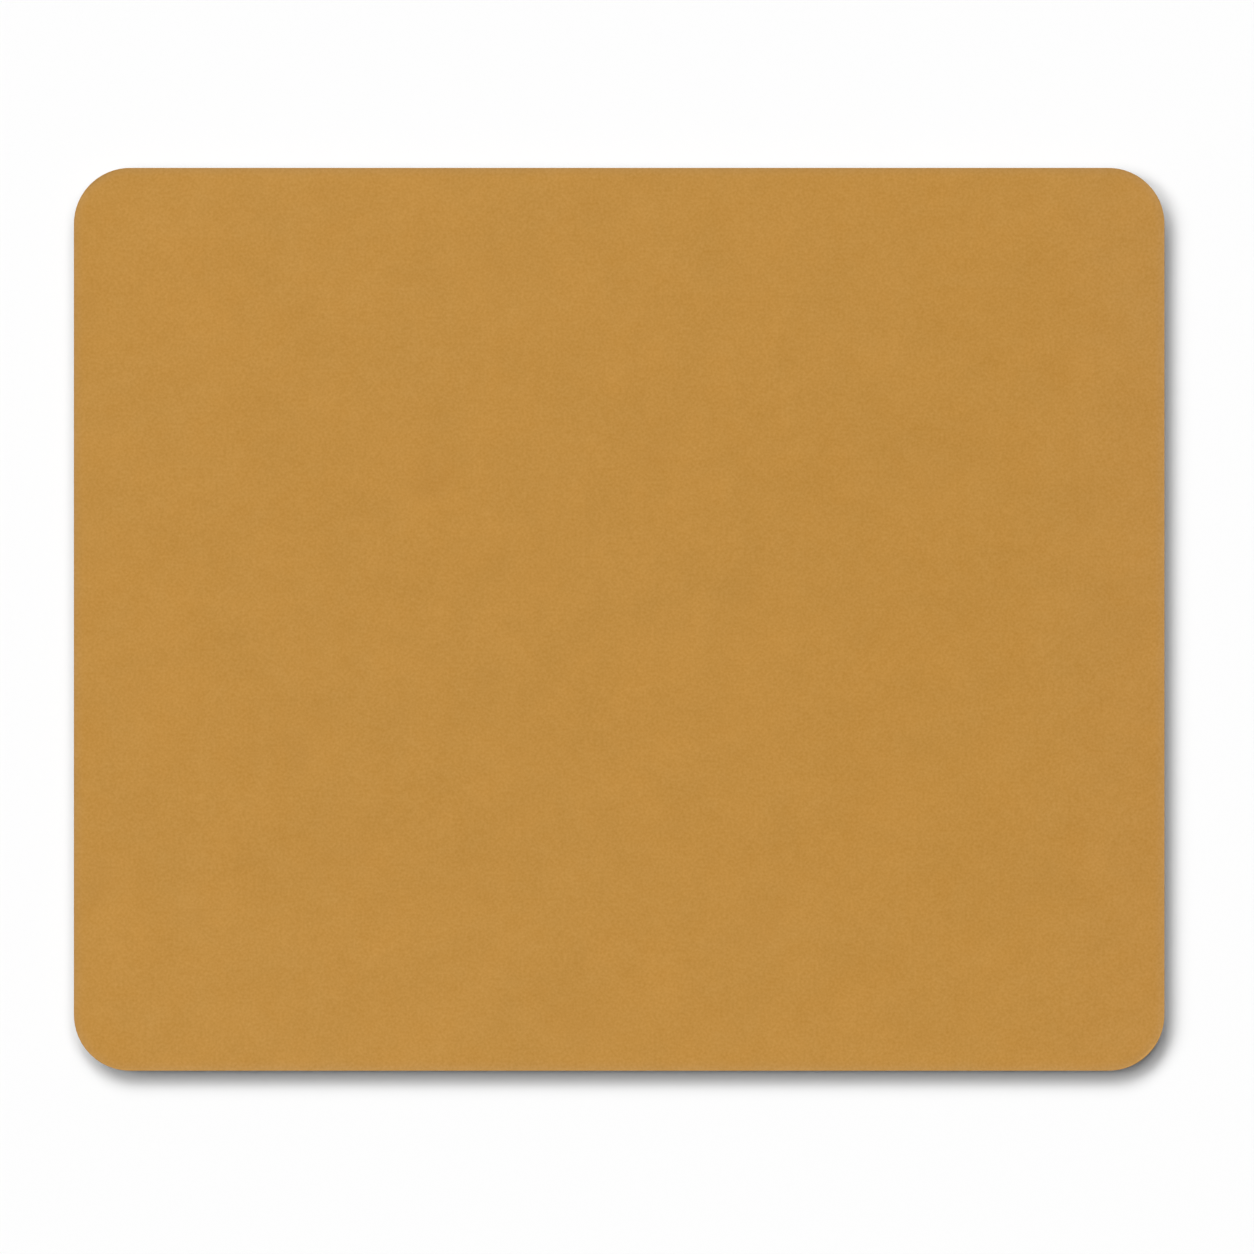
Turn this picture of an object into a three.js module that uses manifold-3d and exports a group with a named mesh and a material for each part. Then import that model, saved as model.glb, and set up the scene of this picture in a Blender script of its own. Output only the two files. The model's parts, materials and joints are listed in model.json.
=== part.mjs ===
// A plain cloth mouse pad: four layers pressed into one sheet and stamped out with a rounded die.
// Millimetres, +Z up, +X along the long side, origin on the desk under the middle of the pad.
import * as THREE from "three";
import Module from "manifold-3d";

const wasm = await Module();
wasm.setup();

// Outline of the stamping die
const padLength = 230; // along X
const padDepth = 190.4; // along Y
const cornerRadius = 11.8;
const cornerSteps = 12; // facets in each rounded corner

// Thickness of the layers, from the desk up
const treadDepth = 0.35; // height of the ribs that stand on the desk
const skinThickness = 0.35; // dense rubber that carries the ribs
const foamThickness = 1.7;
const filmThickness = 0.1;
const clothThickness = 0.5;

// Stamped sides
const foamWaist = 0.2; // how far the sponge draws in halfway up its cut side
const waistSteps = 6; // facets over the height of the sponge
const clothRoll = 0.1; // width of the rim that the die rounds over
const rollSteps = 3; // facets over that rim

// Herringbone tread: zigzag grooves between flat ribs
const groovePitch = 5; // from groove to groove, along Y
const grooveMouth = 1.8; // width where the groove opens to the desk
const grooveFloor = 1; // width against the skin, narrower so that the mould lets go
const legLength = 10; // length of one straight leg of the zigzag, along X
const legSwing = 5; // how far a leg runs sideways, along Y

// Finishes, none of them metal
const gripRubber = { color: 0x1d1d1e, roughness: 0.75 };
const spongeRubber = { color: 0x2a2a2b, roughness: 0.95 };
const hotMeltFilm = { color: 0xcabf9f, roughness: 0.4 };
const ochreCloth = { color: 0xc08d45, roughness: 0.9 };

// Heights at which the layers meet
const foamBottom = treadDepth + skinThickness;
const filmBottom = foamBottom + foamThickness;
const clothBottom = filmBottom + filmThickness;
const padTop = clothBottom + clothThickness;

const { lerp } = THREE.MathUtils;
const quarterTurn = Math.PI / 2;

// The die's outline at height z, drawn in by inset: four arcs about fixed corner centres.
function outlineRing(inset, z) {
  const centreX = padLength / 2 - cornerRadius;
  const centreY = padDepth / 2 - cornerRadius;
  const radius = cornerRadius - inset;
  const sides = [[1, 1], [-1, 1], [-1, -1], [1, -1]];
  return sides.flatMap(([sideX, sideY], corner) => {
    const from = corner * quarterTurn;
    const to = from + quarterTurn;
    const arc = new THREE.EllipseCurve(sideX * centreX, sideY * centreY, radius, radius, from, to);
    return arc.getPoints(cornerSteps).map(({ x, y }) => new THREE.Vector3(x, y, z));
  });
}

// A closed surface through convex rings of equally many points: quads between neighbours, flat ends.
function loft(rings) {
  const count = rings[0].length;
  const lastRing = (rings.length - 1) * count;
  const triangles = [];
  for (let start = 0; start < lastRing; start += count) {
    for (let i = 0; i < count; i++) {
      const here = start + i;
      const beside = start + ((i + 1) % count);
      triangles.push(here, beside, beside + count);
      triangles.push(here, beside + count, here + count);
    }
  }
  for (let i = 1; i < count - 1; i++) {
    triangles.push(0, i + 1, i);
    triangles.push(lastRing, lastRing + i, lastRing + i + 1);
  }
  return new THREE.BufferGeometry().setFromPoints(rings.flat()).setIndex(triangles);
}

function solidOf(geometry) {
  const vertProperties = geometry.getAttribute("position").array;
  const triVerts = new Uint32Array(geometry.index.array);
  return new wasm.Manifold(new wasm.Mesh({ numProp: 3, vertProperties, triVerts }));
}

function geometryOf(solid) {
  const { vertProperties, triVerts } = solid.getMesh();
  const geometry = new THREE.BufferGeometry();
  geometry.setAttribute("position", new THREE.BufferAttribute(vertProperties, 3));
  return geometry.setIndex(new THREE.BufferAttribute(triVerts, 1));
}

// One zigzag groove: a section that tapers towards the skin, carried along legs that swing to and fro.
// It runs below the desk and past both ends of the pad, so that it cuts clean through.
function grooveGeometry(centreY) {
  const bends = Math.ceil(padLength / 2 / legLength) + 1; // on either side of the middle
  const flare = grooveMouth - grooveFloor / 2; // half width one tread depth below the desk
  const rings = [];
  for (let bend = -bends; bend <= bends; bend++) {
    const x = bend * legLength;
    const y = bend % 2 === 0 ? centreY : centreY - legSwing;
    rings.push([
      new THREE.Vector3(x, y + flare, -treadDepth),
      new THREE.Vector3(x, y + grooveFloor / 2, treadDepth),
      new THREE.Vector3(x, y - grooveFloor / 2, treadDepth),
      new THREE.Vector3(x, y - flare, -treadDepth),
    ]);
  }
  return loft(rings);
}

// Dense rubber skin with the tread cut into its underside. The grooves mirror about X = 0, and the
// middle rib has a bend at the origin.
function gripBaseGeometry() {
  const reach = padDepth / 2 + legSwing + grooveMouth;
  const grooves = Math.ceil(reach / groovePitch); // on either side of the middle rib
  let base = solidOf(loft([outlineRing(0, 0), outlineRing(0, foamBottom)]));
  for (let groove = -grooves; groove < grooves; groove++) {
    base = base.subtract(solidOf(grooveGeometry((groove + 0.5) * groovePitch)));
  }
  return geometryOf(base);
}

// Sponge rubber: the die squeezes it, so its cut side springs back to a shallow hollow.
function foamCoreGeometry() {
  const rings = [];
  for (let step = 0; step <= waistSteps; step++) {
    const share = step / waistSteps;
    rings.push(outlineRing(foamWaist * Math.sin(Math.PI * share), lerp(foamBottom, filmBottom, share)));
  }
  return loft(rings);
}

// Hot-melt film between the sponge and the cloth.
function bondFilmGeometry() {
  return loft([outlineRing(0, filmBottom), outlineRing(0, clothBottom)]);
}

// Working cloth: its rim rounds over in a quarter ellipse, from upright at the film to level on top.
function surfaceClothGeometry() {
  const rings = [];
  for (let step = 0; step <= rollSteps; step++) {
    const turn = (step / rollSteps) * quarterTurn;
    rings.push(outlineRing(clothRoll * (1 - Math.cos(turn)), lerp(clothBottom, padTop, Math.sin(turn))));
  }
  return loft(rings);
}

function layer(name, geometry, finish) {
  const material = new THREE.MeshStandardMaterial({ ...finish, metalness: 0, flatShading: true });
  const mesh = new THREE.Mesh(geometry, material);
  mesh.name = name;
  return mesh;
}

const mousePad = new THREE.Group();
mousePad.add(
  layer("grip_base", gripBaseGeometry(), gripRubber),
  layer("foam_core", foamCoreGeometry(), spongeRubber),
  layer("bond_film", bondFilmGeometry(), hotMeltFilm),
  layer("surface_cloth", surfaceClothGeometry(), ochreCloth),
);

export default mousePad;
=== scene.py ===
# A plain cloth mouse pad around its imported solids: ochre working cloth, hot-melt film, sponge rubber
# and a moulded grip base. Metres, Z up, the desk at z = 0.
import json
import math

import bmesh
import bpy
import numpy as np
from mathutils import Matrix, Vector


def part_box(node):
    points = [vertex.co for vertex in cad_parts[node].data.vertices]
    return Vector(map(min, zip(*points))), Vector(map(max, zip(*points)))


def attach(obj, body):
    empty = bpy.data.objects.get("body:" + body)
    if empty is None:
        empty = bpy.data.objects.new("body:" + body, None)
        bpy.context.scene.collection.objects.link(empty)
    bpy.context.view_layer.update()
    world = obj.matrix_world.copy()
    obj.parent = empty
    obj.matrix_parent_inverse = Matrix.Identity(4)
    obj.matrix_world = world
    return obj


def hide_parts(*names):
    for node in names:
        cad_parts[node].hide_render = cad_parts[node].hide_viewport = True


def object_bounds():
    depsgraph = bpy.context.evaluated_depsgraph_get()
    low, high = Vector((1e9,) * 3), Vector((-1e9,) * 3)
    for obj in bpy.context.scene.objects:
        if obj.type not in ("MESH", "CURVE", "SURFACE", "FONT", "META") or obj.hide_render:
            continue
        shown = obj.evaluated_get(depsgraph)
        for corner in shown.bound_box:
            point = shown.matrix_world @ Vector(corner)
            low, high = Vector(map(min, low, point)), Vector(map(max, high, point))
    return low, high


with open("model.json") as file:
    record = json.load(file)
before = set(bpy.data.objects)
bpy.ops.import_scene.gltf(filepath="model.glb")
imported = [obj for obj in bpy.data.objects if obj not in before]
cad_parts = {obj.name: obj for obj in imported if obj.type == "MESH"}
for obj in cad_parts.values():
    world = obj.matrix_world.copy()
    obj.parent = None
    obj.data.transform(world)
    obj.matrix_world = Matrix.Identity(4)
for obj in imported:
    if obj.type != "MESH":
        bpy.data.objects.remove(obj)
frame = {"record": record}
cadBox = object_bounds()
slotColours = {entry["slot"]: entry["base_color"] for entry in frame["record"]["materials"]}

# Outline of the stamping die, shared by all four layers
die = {
    "cornerRadius": 0.0118,
    "cornerFacets": 24,  # on the tread, which is trimmed to the outline
    "crease": 50.0,  # degrees, edges sharper than this stay sharp
}
halfX = cadBox[1].x
halfY = cadBox[1].y
innerX = halfX - die["cornerRadius"]
innerY = halfY - die["cornerRadius"]
quarterTurn = math.pi / 2
fullTurn = 2 * math.pi

middle = 0.5  # of a noise or a tone that runs from 0 to 1

# Places of a Mix node's sockets for colours, which share their names with its other sockets
mixFactor = 0
mixFirst = 6
mixSecond = 7
mixResult = 2


# One shader value in a node tree. Arithmetic on it adds Math nodes.
class Shade:
    def __init__(self, tree, socket=None):
        self.tree = tree
        self.socket = socket

    # Any node: its settings first, then a value or a link for each socket
    def node(self, kind, settings, sockets, output=0):
        made = self.tree.nodes.new("ShaderNode" + kind)
        for name, value in settings.items():
            setattr(made, name, value)
        for name, value in sockets.items():
            if isinstance(value, Shade):
                self.tree.links.new(value.socket, made.inputs[name])
            else:
                made.inputs[name].default_value = value
        return Shade(self.tree, made.outputs[output])

    def math(self, operation, first, second):
        return self.node("Math", {"operation": operation}, {0: first, 1: second})

    def __add__(self, other):
        return self.math("ADD", self, other)

    def __radd__(self, other):
        return self.math("ADD", other, self)

    def __sub__(self, other):
        return self.math("SUBTRACT", self, other)

    def __rsub__(self, other):
        return self.math("SUBTRACT", other, self)

    def __mul__(self, other):
        return self.math("MULTIPLY", self, other)

    def __rmul__(self, other):
        return self.math("MULTIPLY", other, self)

    # Runs smoothly from 0 at start to 1 at end
    def ramp(self, start, end):
        sockets = {"Value": self, "From Min": start, "From Max": end}
        return self.node("MapRange", {"interpolation_type": "SMOOTHSTEP"}, sockets)

    def blendColours(self, blend, factor, first, second):
        sockets = {mixFactor: factor, mixFirst: first, mixSecond: second}
        return self.node("Mix", {"data_type": "RGBA", "blend_type": blend}, sockets, mixResult)

    # The first colour where this value is 0, the second where it is 1
    def mix(self, first, second):
        return self.blendColours("MIX", self, first, second)

    # This colour times another, at full strength
    def tint(self, other):
        return self.blendColours("MULTIPLY", 1, self, other)

    # Noise about 0: swells of one cell, and each further octave half as wide and fade times as strong
    def noise(self, cell, octaves, fade):
        sockets = {"Vector": self, "Scale": 1 / cell, "Detail": octaves, "Roughness": fade}
        return self.node("TexNoise", {}, sockets) - middle

    # Distance to the nearest of many scattered points: 0 at a point, up to about 1 between points
    def cells(self, cell):
        return self.node("TexVoronoi", {}, {"Vector": self, "Scale": 1 / cell}, "Distance")

    def axis(self, name):
        return self.node("SeparateXYZ", {}, {"Vector": self}, name)

    # How far this point lies outside a box of these half sides, 0 inside: the length of
    # max(|point| - half side, 0)
    def beyond(self, halfSides):
        reach = self.node("VectorMath", {"operation": "ABSOLUTE"}, {0: self})
        reach = self.node("VectorMath", {"operation": "SUBTRACT"}, {0: reach, 1: halfSides})
        reach = self.node("VectorMath", {"operation": "MAXIMUM"}, {0: reach, 1: (0, 0, 0)})
        return self.node("VectorMath", {"operation": "LENGTH"}, {0: reach}, "Value")

    # Surface direction after this value, times a depth in metres, is raised on it
    def bump(self, depth):
        return self.node("Bump", {}, {"Height": self, "Distance": depth}, "Normal")

    def into(self, shader, name):
        self.tree.links.new(self.socket, shader.inputs[name])


# A material, its shader with the values that are alike all over, and the object's own coordinates
def startMaterial(name, evenValues):
    material = bpy.data.materials.new(name)
    material.use_nodes = True
    shader = material.node_tree.nodes["Principled BSDF"]
    for socket, value in evenValues.items():
        shader.inputs[socket].default_value = value
    at = Shade(material.node_tree).node("TexCoord", {}, {}, "Object")
    return material, shader, at


# Red, green and blue as a socket takes them, with nothing let through
def opaque(colour):
    return (*colour, 1)


def grey(level):
    return opaque([level] * 3)


# A slot's colour times one factor for each of red, green and blue
def tinted(slot, factors):
    return opaque(np.multiply(slotColours[slot], factors))


# 0 below 0, 1 above 1, and 3 s^2 - 2 s^3 between
def smoothStep(share):
    share = np.clip(share, 0, 1)
    return share * share * (3 - 2 * share)


# Outline as a circle carried round the inner rectangle, with share going from 0 to 1 once round: the
# centre walks along a side, then waits at the corner for a quarter turn. Gives the centres, the
# outward directions and the length all round, so that outline = centre + radius * outward.
def carriedCircle(share):
    bend = die["cornerRadius"] * quarterTurn
    legs = [2 * innerY, bend, 2 * innerX, bend] * 2
    knots = np.concatenate([[0], np.cumsum(legs)])
    along = share * knots[-1]
    turn = quarterTurn * np.interp(along, knots, [0, 0, 1, 1, 2, 2, 3, 3, 4])
    centreX = innerX * np.interp(along, knots, [1, 1, 1, -1, -1, -1, -1, 1, 1])
    centreY = innerY * np.interp(along, knots, [-1, 1, 1, 1, 1, -1, -1, -1, -1])
    outward = np.stack([np.cos(turn), np.sin(turn)], axis=-1)
    return np.stack([centreX, centreY], axis=-1), outward, knots[-1]


# Centre and outward direction of the carried circle for points in the outline's band: the centre is the
# nearest point of the inner rectangle. Further in there is no direction, and it is 0.
def outwardAt(points):
    inner = np.array([innerX, innerY])
    centre = np.clip(points, -inner, inner)
    reach = points - centre
    distance = np.linalg.norm(reach, axis=-1, keepdims=True)
    return centre, np.divide(reach, distance, out=np.zeros_like(reach), where=distance > 0)


# Shares of the bake map that a piece's less seen faces take up
bakeMap = {
    "strip": 0.03,  # height of the strip for a face that lies against its neighbour
    "bandHeight": 0.95,  # of the rows that a band is cut into
    "rowGap": 0.1,  # of a row, free below and above the band
    "endHeight": 0.04,  # of a band's two ends, side by side above the rows
    "endWidth": 0.4,
}


# Puts a mesh into the scene with one place on the bake map for each face corner
def addPiece(name, mesh, places):
    mapLayer = mesh.uv_layers.new(name="OFBake")
    mapLayer.uv.foreach_set("vector", places.astype(np.float32).ravel())
    mesh.shade_smooth()
    mesh.set_sharp_from_angle(angle=math.radians(die["crease"]))
    piece = bpy.data.objects.new(name, mesh)
    bpy.context.scene.collection.objects.link(piece)
    return piece


# Gives a piece its material, hangs it under the root and hides the solid that it stands for
def dress(piece, material, node):
    piece.data.materials.append(material)
    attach(piece, "root")
    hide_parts(node)
    print(piece.name + ":", len(piece.data.polygons), "faces")


# A closed band round the pad. Ring j lies at heights[j] and is drawn in from the outline by inset[j, i],
# so that point = centre + (radius - inset) * outward. Fans to the middle close the two ends.
# On the bake map the band is cut into equal rows, with the two ends side by side above them.
def bandPiece(name, inset, heights, mapRows):
    rings, around = inset.shape
    centre, outward, _ = carriedCircle(np.arange(around) / around)
    xy = centre + (die["cornerRadius"] - inset)[..., None] * outward
    z = np.broadcast_to(heights[:, None, None], (rings, around, 1))
    poles = [[0, 0, heights[0]], [0, 0, heights[-1]]]
    points = np.concatenate([np.concatenate([xy, z], axis=-1).reshape(-1, 3), poles])

    ring = np.arange(around)
    beside = np.roll(ring, -1)
    below = np.arange(rings - 1)[:, None] * around
    above = below + around
    quads = np.stack([below + ring, below + beside, above + beside, above + ring], axis=-1)
    last = (rings - 1) * around
    pole = np.full(around, rings * around)
    lowFan = np.stack([beside, ring, pole], axis=-1)
    highFan = np.stack([last + ring, last + beside, pole + 1], axis=-1)
    mesh = bpy.data.meshes.new(name)
    mesh.from_pydata(points, [], quads.reshape(-1, 4).tolist() + lowFan.tolist() + highFan.tolist())

    rowLength = around // mapRows
    left = (ring % rowLength) / rowLength
    right = left + 1 / rowLength
    row = ring // rowLength
    rise = np.linspace(bakeMap["rowGap"], 1 - bakeMap["rowGap"], rings)[:, None]
    level = (row + rise) / mapRows * bakeMap["bandHeight"]
    mapU = np.broadcast_to(np.stack([left, right, right, left], axis=-1), (rings - 1, around, 4))
    mapV = np.stack([level[:-1], level[:-1], level[1:], level[1:]], axis=-1)
    bandPlaces = np.stack([mapU, mapV], axis=-1).reshape(-1, 2)
    flat = (points[:, :2] / [halfX, halfY] + 1) / 2
    flat = flat * [bakeMap["endWidth"], bakeMap["endHeight"]] + [0, 1 - bakeMap["endHeight"]]
    lowPlaces = flat[lowFan].reshape(-1, 2)
    highPlaces = flat[highFan].reshape(-1, 2) + [1 - bakeMap["endWidth"], 0]
    return addPiece(name, mesh, np.concatenate([bandPlaces, lowPlaces, highPlaces]))


# Pale floor, soft daylight and the camera straight over the pad
studio = {
    "floorSize": 30.0,
    "floorDrop": 0.00002,  # keeps the floor clear of the ribs that stand on it
    "floorColour": 0.872,
    "floorRoughness": 0.9,
    "skyLight": 0.028,  # what the surroundings add to the lamps
    "backdrop": 0.99,  # how bright they look behind the floor
    # Wide, distant lamps in an arc: tilt from straight up, turn from +Y towards -X and width, in degrees
    "lamps": {
        "right": {"tilt": 34, "turn": -58, "width": 29, "strength": 0.35},
        "backRight": {"tilt": 46, "turn": -16, "width": 30, "strength": 0.77},
        "back": {"tilt": 56, "turn": 15, "width": 21, "strength": 1.35},
        "backLeft": {"tilt": 55, "turn": 41, "width": 22, "strength": 1.37},
        "left": {"tilt": 54, "turn": 74, "width": 24, "strength": 0.97},
        "frontLeft": {"tilt": 39, "turn": 99, "width": 35, "strength": 0.68},
    },
    "lens": 200.0,  # millimetres, as the sensor
    "sensor": 36.0,
    "frameWidth": 0.26438,  # what the picture takes in at the height of the cloth
    "aim": (0.001649, -0.001623),  # middle of the picture on the pad
}


def buildStudio():
    scene = bpy.context.scene
    scene.view_settings.view_transform = "Standard"

    half = studio["floorSize"] / 2
    corners = [(-half, -half), (half, -half), (half, half), (-half, half)]
    mesh = bpy.data.meshes.new("floor")
    mesh.from_pydata([(x, y, -studio["floorDrop"]) for x, y in corners], [], [range(4)])
    evenValues = {"Base Color": grey(studio["floorColour"]), "Roughness": studio["floorRoughness"]}
    paper, _, _ = startMaterial("floor_paper", evenValues)
    mesh.materials.append(paper)
    floor = bpy.data.objects.new("floor", mesh)
    scene.collection.objects.link(floor)

    for name, lamp in studio["lamps"].items():
        tilt = math.radians(lamp["tilt"])
        turn = math.radians(lamp["turn"])
        lean = math.sin(tilt)
        towards = Vector((-lean * math.sin(turn), lean * math.cos(turn), math.cos(tilt)))
        light = bpy.data.lights.new(name, "SUN")
        light.energy = lamp["strength"]
        light.angle = math.radians(lamp["width"])
        lightObject = bpy.data.objects.new(name, light)
        lightObject.rotation_euler = towards.to_track_quat("Z", "Y").to_euler()
        scene.collection.objects.link(lightObject)

    world = bpy.data.worlds.new("studio_sky")
    world.use_nodes = True
    scene.world = world
    seen = Shade(world.node_tree).node("LightPath", {}, {}, "Is Camera Ray")
    sky = seen.mix(grey(studio["skyLight"]), grey(studio["backdrop"]))
    sky.into(world.node_tree.nodes["Background"], "Color")

    lens = bpy.data.cameras.new("overhead_view")
    lens.lens = studio["lens"]
    lens.sensor_width = studio["sensor"]
    camera = bpy.data.objects.new("overhead_view", lens)
    height = studio["frameWidth"] * studio["lens"] / studio["sensor"]
    camera.location = (*studio["aim"], cadBox[1].z + height)
    scene.collection.objects.link(camera)
    scene.camera = camera
    print("studio:", len(studio["lamps"]), "lamps, camera", round(height, 3), "m above the cloth")


# Working cloth: a sheet with a finely waved top and a low lip where the die has pushed up its cut edge
cloth = {
    "flat": (0.230, 0.1904),  # as cut
    "gridStep": 0.00125,
    "lipWidth": 0.0003,
    "lipHeight": 0.00003,
    "lipSteps": 4,
    "rollWidth": 0.00004,  # rounding of the very edge, outside the lip
    "rollSteps": 3,
    "waveCount": 110,
    "waveSlope": 0.008,  # steepness of the waves together
    "waveLength": (0.005, 0.045),  # shortest and longest
    "waveEdge": 0.004,  # width along the rim over which the waves die away
    "waveSeed": 11,
    "dye": (0.882, 0.870, 0.779),  # times the slot's colour, which the sheen lightens
    "lightNap": (1.20, 1.27, 1.60),  # times the dye, where the fibre tips stand up
    "darkNap": (0.80, 0.73, 0.40),
    "grain": (0.00056, 1, 0.4),  # cell, octaves and fade of the nap
    "grainTone": 0.57,
    "clouds": (0.0105, 2, 1.0),  # and of the soft patches in it
    "cloudTone": 0.29,
    "cast": (0.04, 4, 1.0),  # and of the drift in its dye, from cool to warm
    "coolCast": (0.965, 1.011, 1.12),  # times the nap's colour
    "warmCast": (1.035, 0.989, 0.88),
    "leftTone": 0.04,  # painted light: the cloth is coloured lighter towards -X, as light falling off across it
    "endTone": 0.038,  # and lighter towards both ends of Y, also painted light
    "rimWidth": 0.003,  # the nap is rubbed greyer towards the cut edge
    "rimCast": (0.965, 1.015, 1.30),
    "wornFrom": 0.7,  # share of the half length from which it is worn a little paler, towards +X
    "wornCast": (1.0, 1.01, 1.10),
    "shadedYarn": (0.62, 0.56, 0.46),  # times the dye, between the yarn's cut ends low on the rim: the raw yarn's own colour, darkened there as a painted shade between the raised ends
    "lightYarn": (0.98, 0.92, 0.82),
    "yarnEnds": (0.0002, 2, 0.6),
    "yarnTone": 1.6,
    "yarnHeight": (0.25, 0.75),  # share of the cloth's thickness over which they give way to the nap
    "grainDepth": 0.000008,
    "yarnDepth": 0.00006,
    "roughness": 0.9,
    "roughGrain": 0.15,
    "gloss": 0.12,
    "sheen": 0.1,
    "sheenRoughness": 0.5,
    "sheenTint": (1.0, 0.80, 0.48),
}


# Waves left by the laminating rollers: a sum of plane cosine waves, equally steep, with wavelengths in
# even ratios and with headings and phases drawn at random.
def clothWaves(x, y):
    count = cloth["waveCount"]
    draw = np.random.default_rng(cloth["waveSeed"])
    lengths = np.geomspace(*cloth["waveLength"], count)
    headings = draw.uniform(0, fullTurn, count)
    phases = draw.uniform(0, fullTurn, count)
    slope = cloth["waveSlope"] * math.sqrt(2 / count)
    height = np.zeros_like(x)
    for length, heading, phase in zip(lengths, headings, phases):
        along = x * math.cos(heading) + y * math.sin(heading)
        height += slope * length / fullTurn * np.cos(fullTurn * along / length + phase)
    return height


# How far a corner arc has come in at a share of the half side, where the share 1 is the arc's middle:
# radius - sqrt(radius^2 - past^2), with past counted from the arc's start
def cornerBite(share, half, radius):
    chop = radius * (1 - math.cos(quarterTurn / 2))
    past = np.maximum(np.abs(share) * (half - chop) - (half - radius), 0)
    return radius - np.sqrt(radius**2 - past**2)


# The square u, v carried onto a rounded rectangle that lies a border inside the outline:
# x = u * (insideX - bite(v)) and y = v * (insideY - bite(u)), with waves that die away towards its rim
def clothTop(border):
    insideX = halfX - border
    insideY = halfY - border
    radius = die["cornerRadius"] - border
    stepsX = round(2 * halfX / cloth["gridStep"])
    stepsY = round(2 * halfY / cloth["gridStep"])
    u, v = np.meshgrid(np.linspace(-1, 1, stepsX + 1), np.linspace(-1, 1, stepsY + 1))
    x = u * (insideX - cornerBite(v, insideY, radius))
    y = v * (insideY - cornerBite(u, insideX, radius))
    toRim = np.minimum(insideX - np.abs(x), insideY - np.abs(y))
    waves = clothWaves(x, y) * smoothStep(toRim / cloth["waveEdge"])
    return x, y, waves


# The top, and a rim whose profile is carried round it, point = centre + (radius - inset) * outward:
# a smooth step up to the lip, then inset = roll * (1 - cos) and z = bottom + (lip - bottom) * sin of an
# angle that falls from a quarter turn to 0.
def clothPiece():
    low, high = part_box("surface_cloth")
    roll = cloth["rollWidth"]
    border = roll + cloth["lipWidth"]
    x, y, waves = clothTop(border)
    level = high.z - max(waves.max(), cloth["lipHeight"])
    grid = np.stack([x, y, level + waves], axis=-1).reshape(-1, 3)

    index = np.arange(len(grid)).reshape(x.shape)
    topQuads = np.stack([index[:-1, :-1], index[:-1, 1:], index[1:, 1:], index[1:, :-1]], axis=-1)
    rim = np.concatenate([index[0, :-1], index[:-1, -1], index[-1, :0:-1], index[:0:-1, 0]])

    centre, outward = outwardAt(grid[rim, :2])
    climb = np.linspace(0, 1, cloth["lipSteps"] + 1)[1:]
    turn = np.linspace(quarterTurn, 0, cloth["rollSteps"] + 1)[1:]
    inset = np.concatenate([border - cloth["lipWidth"] * climb, roll * (1 - np.cos(turn))])
    lip = level + cloth["lipHeight"] * smoothStep(climb)
    z = np.concatenate([lip, low.z + (lip[-1] - low.z) * np.sin(turn)])
    xy = centre + (die["cornerRadius"] - inset)[:, None, None] * outward
    loops = np.concatenate([xy, np.broadcast_to(z[:, None, None], (*xy.shape[:2], 1))], axis=-1)
    points = np.concatenate([grid, loops.reshape(-1, 3)])
    rings = np.concatenate([rim[None], len(grid) + np.arange(loops[..., 0].size).reshape(-1, len(rim))])
    following = np.roll(rings, -1, axis=1)
    rimQuads = np.stack([rings[:-1], rings[1:], following[1:], following[:-1]], axis=-1)
    underside = rings[-1][::-1]
    mesh = bpy.data.meshes.new("working_cloth")
    faces = topQuads.reshape(-1, 4).tolist() + rimQuads.reshape(-1, 4).tolist() + [underside.tolist()]
    mesh.from_pydata(points, [], faces)

    # Bake map: seen from above, with the rim laid out flat round it and the underside in a strip below
    steps = np.diff(np.concatenate([grid[None, rim], loops]), axis=0)
    laidOut = np.cumsum(np.linalg.norm(steps, axis=-1), axis=0)
    flatRim = grid[rim, :2] + laidOut[..., None] * outward
    flat = np.concatenate([grid[:, :2], flatRim.reshape(-1, 2)])
    strip = bakeMap["strip"]
    flat = (flat / flat.max(axis=0) + 1) / 2
    corners = np.concatenate([topQuads.reshape(-1), rimQuads.reshape(-1)])
    upper = flat[corners] * [1, 1 - strip] + [0, strip]
    return addPiece("working_cloth", mesh, np.concatenate([upper, flat[underside] * [1, strip / 2]]))


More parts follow.
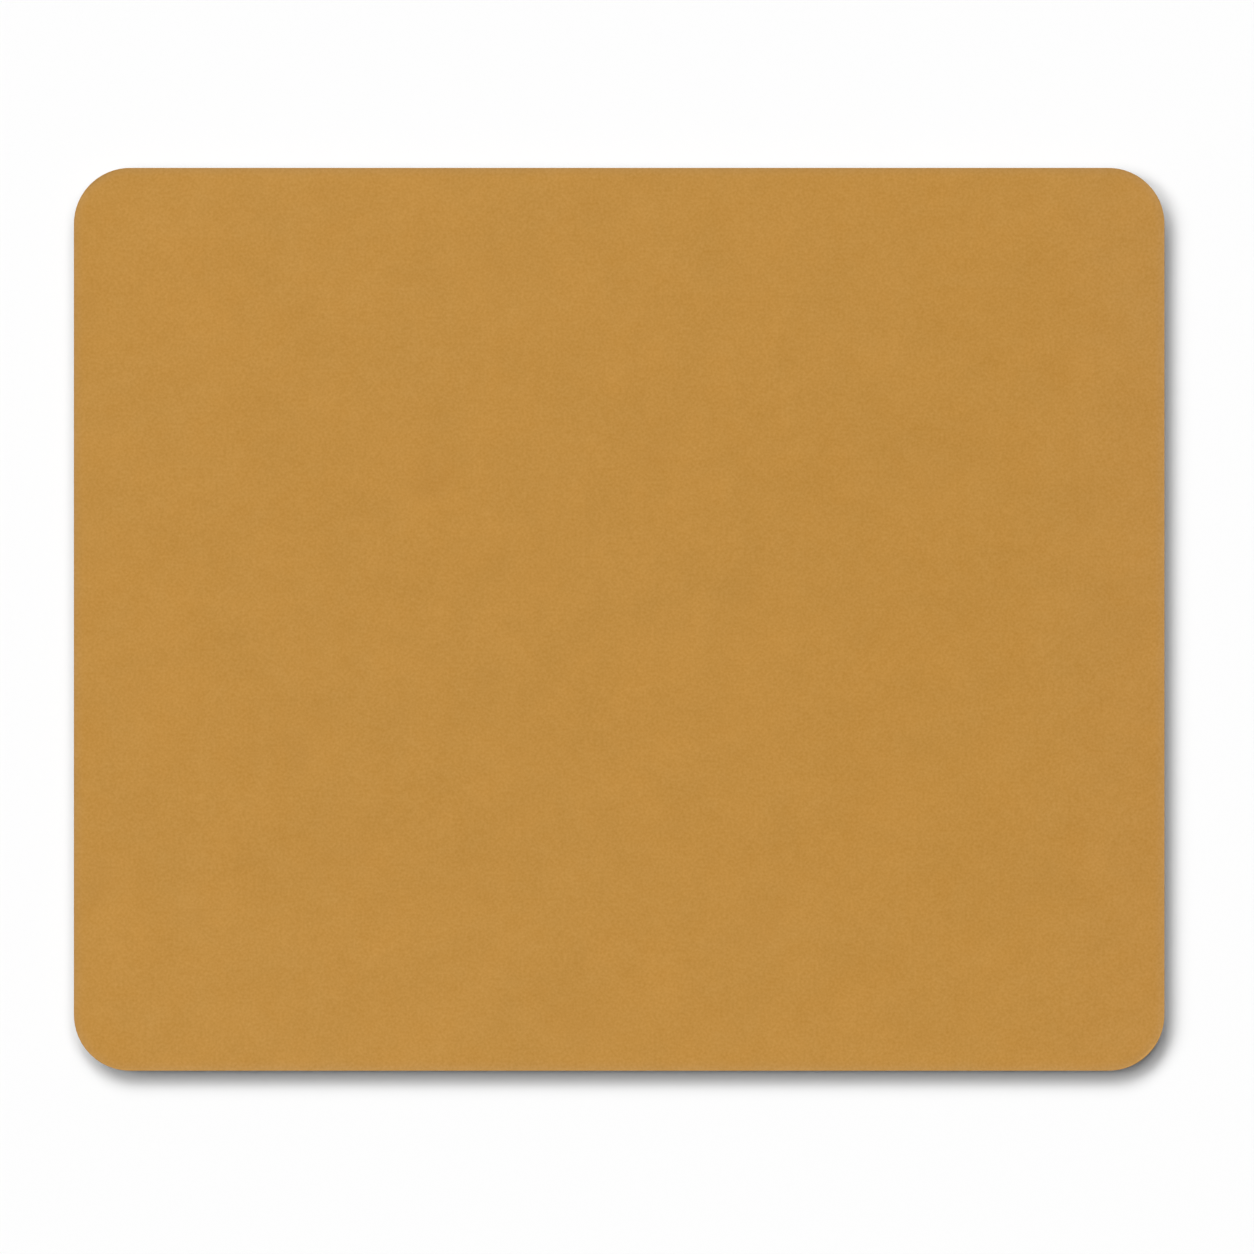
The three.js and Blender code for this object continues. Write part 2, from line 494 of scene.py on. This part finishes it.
def clothMaterial():
    evenValues = {
        "Specular IOR Level": cloth["gloss"],
        "Sheen Weight": cloth["sheen"],
        "Sheen Roughness": cloth["sheenRoughness"],
        "Sheen Tint": opaque(cloth["sheenTint"]),
    }
    material, shader, at = startMaterial("ochre_cloth", evenValues)
    parts = ["darkNap", "lightNap", "shadedYarn", "lightYarn"]
    dyes = [tinted("ochre_cloth", np.multiply(cloth["dye"], cloth[part])) for part in parts]
    darkNap, lightNap, shadedYarn, lightYarn = dyes
    grain = at.noise(*cloth["grain"])
    clouds = at.noise(*cloth["clouds"])
    across = at.axis("X") * (1 / halfX)
    along = at.axis("Y") * (1 / halfY)
    # Painted light falloff: the tone is raised towards -X and towards both ends of Y
    paintedFalloff = cloth["endTone"] * along * along - cloth["leftTone"] * across
    tone = middle + cloth["grainTone"] * grain + cloth["cloudTone"] * clouds + paintedFalloff
    drift = middle + at.noise(*cloth["cast"])
    cast = drift.mix(opaque(cloth["coolCast"]), opaque(cloth["warmCast"]))
    nap = tone.mix(darkNap, lightNap).tint(cast)
    radius = die["cornerRadius"]
    # A box far taller than the pad, so that only the way to its sides counts
    rim = at.beyond((innerX, innerY, halfX)).ramp(radius - cloth["rimWidth"], radius)
    nap = (rim * rim).mix(nap, nap.tint(opaque(cloth["rimCast"])))
    nap = across.ramp(cloth["wornFrom"], 1).mix(nap, nap.tint(opaque(cloth["wornCast"])))
    yarnEnds = at.noise(*cloth["yarnEnds"])
    # Raised yarn ends are coloured lighter and the gaps between them darker, a painted shade over the
    # raw yarn's own colour
    yarn = (middle + cloth["yarnTone"] * yarnEnds).mix(shadedYarn, lightYarn)
    low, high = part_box("surface_cloth")
    yarnFrom, yarnTo = (low.z + share * (high.z - low.z) for share in cloth["yarnHeight"])
    aboveYarn = at.axis("Z").ramp(yarnFrom, yarnTo)
    aboveYarn.mix(yarn, nap).into(shader, "Base Color")
    (cloth["roughness"] + cloth["roughGrain"] * grain).into(shader, "Roughness")
    yarnRise = cloth["yarnDepth"] / cloth["grainDepth"]
    height = grain + yarnRise * (1 - aboveYarn) * yarnEnds
    height.bump(cloth["grainDepth"]).into(shader, "Normal")
    return material


# Hot-melt film: a thin rounded line of glue between the sponge and the cloth
film = {
    "around": 1640,
    "rings": 5,
    "edgeRound": 0.00004,
    "creep": 0.00003,  # how unevenly the glue has run
    "swells": 61,  # runs of it round the pad
    "drift": 2.0,  # radians by which they crowd and spread
    "driftTurns": 7,
    "mapRows": 8,
    "pale": (1.15, 1.15, 1.2),  # times the slot's colour
    "dark": (0.75, 0.72, 0.65),
    "smears": (0.004, 3, 0.5),  # cell, octaves and fade
    "smearDepth": 0.00002,
    "roughness": 0.38,
    "roughSmear": 0.3,
}


# inset = round * (1 - sin) over the film's height, plus creep * (1 + cos) once for each swell
def filmPiece():
    low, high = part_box("bond_film")
    share = np.linspace(0, 1, film["rings"])[:, None]
    turn = fullTurn * np.arange(film["around"]) / film["around"]
    drift = film["drift"] * np.sin(film["driftTurns"] * turn)
    inset = film["edgeRound"] * (1 - np.sin(math.pi * share))
    inset = inset + film["creep"] * (1 + np.cos(film["swells"] * turn + drift))
    return bandPiece("glue_film", inset, low.z + share[:, 0] * (high.z - low.z), film["mapRows"])


def filmMaterial():
    material, shader, at = startMaterial("hot_melt_film", {})
    smears = at.noise(*film["smears"])
    dark = tinted("hot_melt_film", film["dark"])
    pale = tinted("hot_melt_film", film["pale"])
    (middle + smears).mix(dark, pale).into(shader, "Base Color")
    (film["roughness"] + film["roughSmear"] * smears).into(shader, "Roughness")
    smears.bump(film["smearDepth"]).into(shader, "Normal")
    return material


# Sponge core: its die-cut side is drawn in to a waist and pitted where the die has opened the cells
sponge = {
    "fill": 1.0,
    "around": 6240,
    "rings": 14,
    "waist": 0.0002,
    "cellPitch": 0.00052,
    "cellJitter": (0.1, 0.9),  # where in its square of the lattice a cell may lie
    "cellRadius": (0.00012, 0.00028),
    "cellDepth": 0.55,  # of the cell's radius
    "cellSeed": 5,
    "mapRows": 24,
    "pale": (1.5, 1.5, 1.5),  # times the slot's colour
    "dark": (0.6, 0.6, 0.6),
    "poreCell": 0.00025,
    "poreShadeEdge": (0.1, 0.7),  # from the middle of a pore to its wall, over which a painted shade, darkest in the middle, fades out
    "poreDepth": 0.00004,
    "patches": (0.006, 3, 0.5),  # cell, octaves and fade
    "patchTone": 0.5,
    "roughness": 0.92,
    "roughPatch": 0.1,
    "gloss": 0.3,
}


# Depth of the open cells on the cut side: one bowl near each point of a jittered lattice, as deep as
# depth * radius * sqrt(1 - (distance / radius)^2), the deepest bowl winning.
def openCells(along, up, length, height):
    draw = np.random.default_rng(sponge["cellSeed"])
    columns = round(length / sponge["cellPitch"])
    rows = round(height / sponge["cellPitch"])
    jitterX, jitterZ = draw.uniform(*sponge["cellJitter"], (2, columns, rows))
    radii = draw.uniform(*sponge["cellRadius"], (columns, rows))
    column = np.floor(along / length * columns).astype(int)
    row = np.clip(np.floor(up / height * rows).astype(int), 0, rows - 1)
    depth = np.zeros(np.broadcast(along, up).shape)
    for stepX in (-1, 0, 1):
        for stepZ in (-1, 0, 1):
            i = (column + stepX) % columns
            j = np.clip(row + stepZ, 0, rows - 1)
            dx = along - (column + stepX + jitterX[i, j]) * length / columns
            dz = up - (j + jitterZ[i, j]) * height / rows
            inside = np.maximum(1 - (dx**2 + dz**2) / radii[i, j] ** 2, 0)
            depth = np.maximum(depth, sponge["cellDepth"] * radii[i, j] * np.sqrt(inside))
    return depth


# inset = waist * sin over the sponge's height, plus the depth of the open cells
def spongePiece():
    low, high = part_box("foam_core")
    share = np.linspace(0, 1, sponge["rings"])[:, None]
    around = np.arange(sponge["around"]) / sponge["around"]
    _, _, length = carriedCircle(around)
    height = high.z - low.z
    cells = openCells(around[None] * length, share * height, length, height)
    cells[[0, -1]] = 0  # the glued edges stay whole
    inset = sponge["waist"] * np.sin(math.pi * share) + cells
    return bandPiece("sponge_layer", inset, low.z + share[:, 0] * height, sponge["mapRows"])


def spongeMaterial():
    material, shader, at = startMaterial("sponge_rubber", {"Specular IOR Level": sponge["gloss"]})
    pores = at.cells(sponge["poreCell"])
    patches = at.noise(*sponge["patches"])
    # Painted shade: each pore is coloured darker towards its middle, where its hollow is; the patches
    # are the rubber's own tone
    tone = pores.ramp(*sponge["poreShadeEdge"]) + sponge["patchTone"] * patches
    dark = tinted("sponge_rubber", sponge["dark"])
    pale = tinted("sponge_rubber", sponge["pale"])
    tone.mix(dark, pale).into(shader, "Base Color")
    (sponge["roughness"] + sponge["roughPatch"] * patches).into(shader, "Roughness")
    pores.bump(sponge["poreDepth"]).into(shader, "Normal")
    return material


# Grip base: dense rubber with a herringbone tread of flat ribs between zigzag grooves
tread = {
    "depth": 0.00035,
    "pitch": 0.005,  # from groove to groove
    "floorHalf": 0.00038,  # half width of the groove's flat floor
    "mouthHalf": 0.00102,  # half width where the rib's rounded edge levels out
    "wallSteps": 5,
    "legLength": 0.01,
    "legSwing": 0.005,
    "bendEase": 0.0012,  # distance from a bend at which a leg starts to turn
    "bendColumns": 5,
    "trimSnap": 1e-8,  # points this near to the outline count as on it
    "pale": (1.6, 1.6, 1.6),  # times the slot's colour
    "dark": (0.8, 0.8, 0.8),
    "baseTone": 0.3,
    "mottle": (0.008, 4, 0.6),  # cell, octaves and fade
    "mottleTone": 0.5,
    "rubHeight": 0.00006,  # the crests are rubbed paler and smoother up to this height
    "rubTone": 0.5,
    "rubShine": 0.12,
    "specks": (0.0003, 1, 0.5),
    "speckDepth": 0.000012,
    "roughness": 0.62,
    "roughMottle": 0.25,
    "gloss": 0.45,
}


# Underside as a grid that follows the pattern: columns close together at the bends, rows along the edges
# of the grooves. y = row - swing * zigzag(x), and z = depth * (1 - smooth step) from floor to mouth.
# Beside a bend, at s times the ease from it, the zigzag is (1 + s^2) / 2 eases away from its tip, and
# not |s|.
def treadGrid():
    wallShare = np.linspace(0, 1, tread["wallSteps"] + 1)
    wall = tread["floorHalf"] + (tread["mouthHalf"] - tread["floorHalf"]) * wallShare
    lift = tread["depth"] * (1 - smoothStep(wallShare))
    pitch = tread["pitch"]
    grooves = math.ceil((halfY + tread["legSwing"]) / pitch) + 1
    grooveLines = np.arange(-grooves, grooves) * pitch + pitch / 2  # the nearest half a pitch from y = 0
    rows = (grooveLines[:, None] + np.concatenate([-wall[::-1], wall])).ravel()
    heights = np.tile(np.concatenate([lift[::-1], lift]), len(grooveLines))

    reach = math.ceil(halfX / tread["legLength"])
    bends = np.arange(-reach, reach + 1)
    ease = tread["bendEase"]
    besideBend = np.linspace(-1, 1, tread["bendColumns"])
    columns = (bends[:, None] * tread["legLength"] + ease * besideBend).ravel()
    nearBend = (1 + besideBend**2) / 2 * ease / tread["legLength"]
    odd = (bends % 2)[:, None]
    zigzag = (odd + (1 - 2 * odd) * nearBend).ravel()  # near 0 at an even bend, near 1 at an odd one

    x = np.broadcast_to(columns, (len(rows), len(columns)))
    y = rows[:, None] - tread["legSwing"] * zigzag
    z = np.broadcast_to(heights[:, None], x.shape)
    points = np.stack([x, y, z], axis=-1).reshape(-1, 3)
    index = np.arange(len(points)).reshape(x.shape)
    quads = np.stack([index[:-1, :-1], index[1:, :-1], index[1:, 1:], index[:-1, 1:]], axis=-1)
    return points, quads.reshape(-1, 4)


# The grid trimmed by the outline's half planes, its edge carried up to the sponge and closed on top
def treadMesh():
    points, quads = treadGrid()
    mesh = bpy.data.meshes.new("grip_tread")
    mesh.from_pydata(points, [], quads.tolist())
    shape = bmesh.new()
    shape.from_mesh(mesh)

    for turn in quarterTurn * np.arange(4 * die["cornerFacets"]) / die["cornerFacets"]:
        away = Vector((math.cos(turn), math.sin(turn), 0))
        corner = Vector((math.copysign(innerX, away.x), math.copysign(innerY, away.y), 0))
        everything = shape.verts[:] + shape.edges[:] + shape.faces[:]
        bmesh.ops.bisect_plane(shape, geom=everything, dist=tread["trimSnap"], clear_outer=True,
                               plane_co=corner + die["cornerRadius"] * away, plane_no=away)

    rim = [edge for edge in shape.edges if edge.is_boundary]
    wall = bmesh.ops.extrude_edge_only(shape, edges=rim)["geom"]
    wallTop = [part for part in wall if isinstance(part, bmesh.types.BMVert)]
    bmesh.ops.scale(shape, verts=wallTop, vec=(1, 1, 0))
    bmesh.ops.translate(shape, verts=wallTop, vec=(0, 0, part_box("grip_base")[1].z))
    bmesh.ops.holes_fill(shape, edges=[edge for edge in shape.edges if edge.is_boundary], sides=0)
    bmesh.ops.recalc_face_normals(shape, faces=shape.faces[:])
    shape.to_mesh(mesh)
    shape.free()
    return mesh


# Bake map of the tread: seen from below, its walls laid out flat round it and its top in a strip below
def treadPiece():
    mesh = treadMesh()
    points = np.zeros((len(mesh.vertices), 3), np.float32)
    mesh.vertices.foreach_get("co", points.ravel())
    corners = np.zeros(len(mesh.loops), np.int32)
    mesh.loops.foreach_get("vertex_index", corners)
    counts = np.zeros(len(mesh.polygons), np.int32)
    mesh.polygons.foreach_get("loop_total", counts)

    low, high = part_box("grip_base")
    _, outward = outwardAt(points[:, :2])
    onTop = np.isclose(points[:, 2:], high.z)
    flat = points[:, :2] + np.where(onTop, (high.z - low.z) * outward, 0)
    flat = ((flat / flat.max(axis=0) + 1) / 2)[corners]
    topFace = counts.argmax()  # it has by far the most corners
    onTopFace = np.repeat(np.arange(len(counts)) == topFace, counts)[:, None]
    strip = bakeMap["strip"]
    places = np.where(onTopFace, flat * [1, strip / 2], flat * [1, 1 - strip] + [0, strip])
    return addPiece("grip_tread", mesh, places)


def treadMaterial():
    material, shader, at = startMaterial("grip_rubber", {"Specular IOR Level": tread["gloss"]})
    mottle = at.noise(*tread["mottle"])
    specks = at.noise(*tread["specks"])
    rubbed = 1 - at.axis("Z").ramp(0, tread["rubHeight"])
    tone = tread["baseTone"] + tread["mottleTone"] * mottle + tread["rubTone"] * rubbed
    dark = tinted("grip_rubber", tread["dark"])
    pale = tinted("grip_rubber", tread["pale"])
    tone.mix(dark, pale).into(shader, "Base Color")
    roughness = tread["roughness"] + tread["roughMottle"] * mottle - tread["rubShine"] * rubbed
    roughness.into(shader, "Roughness")
    specks.bump(tread["speckDepth"]).into(shader, "Normal")
    return material


buildStudio()

workingCloth = clothPiece()
dress(workingCloth, clothMaterial(), "surface_cloth")
glueFilm = filmPiece()
dress(glueFilm, filmMaterial(), "bond_film")
spongeLayer = spongePiece()
dress(spongeLayer, spongeMaterial(), "foam_core")
gripTread = treadPiece()
dress(gripTread, treadMaterial(), "grip_base")
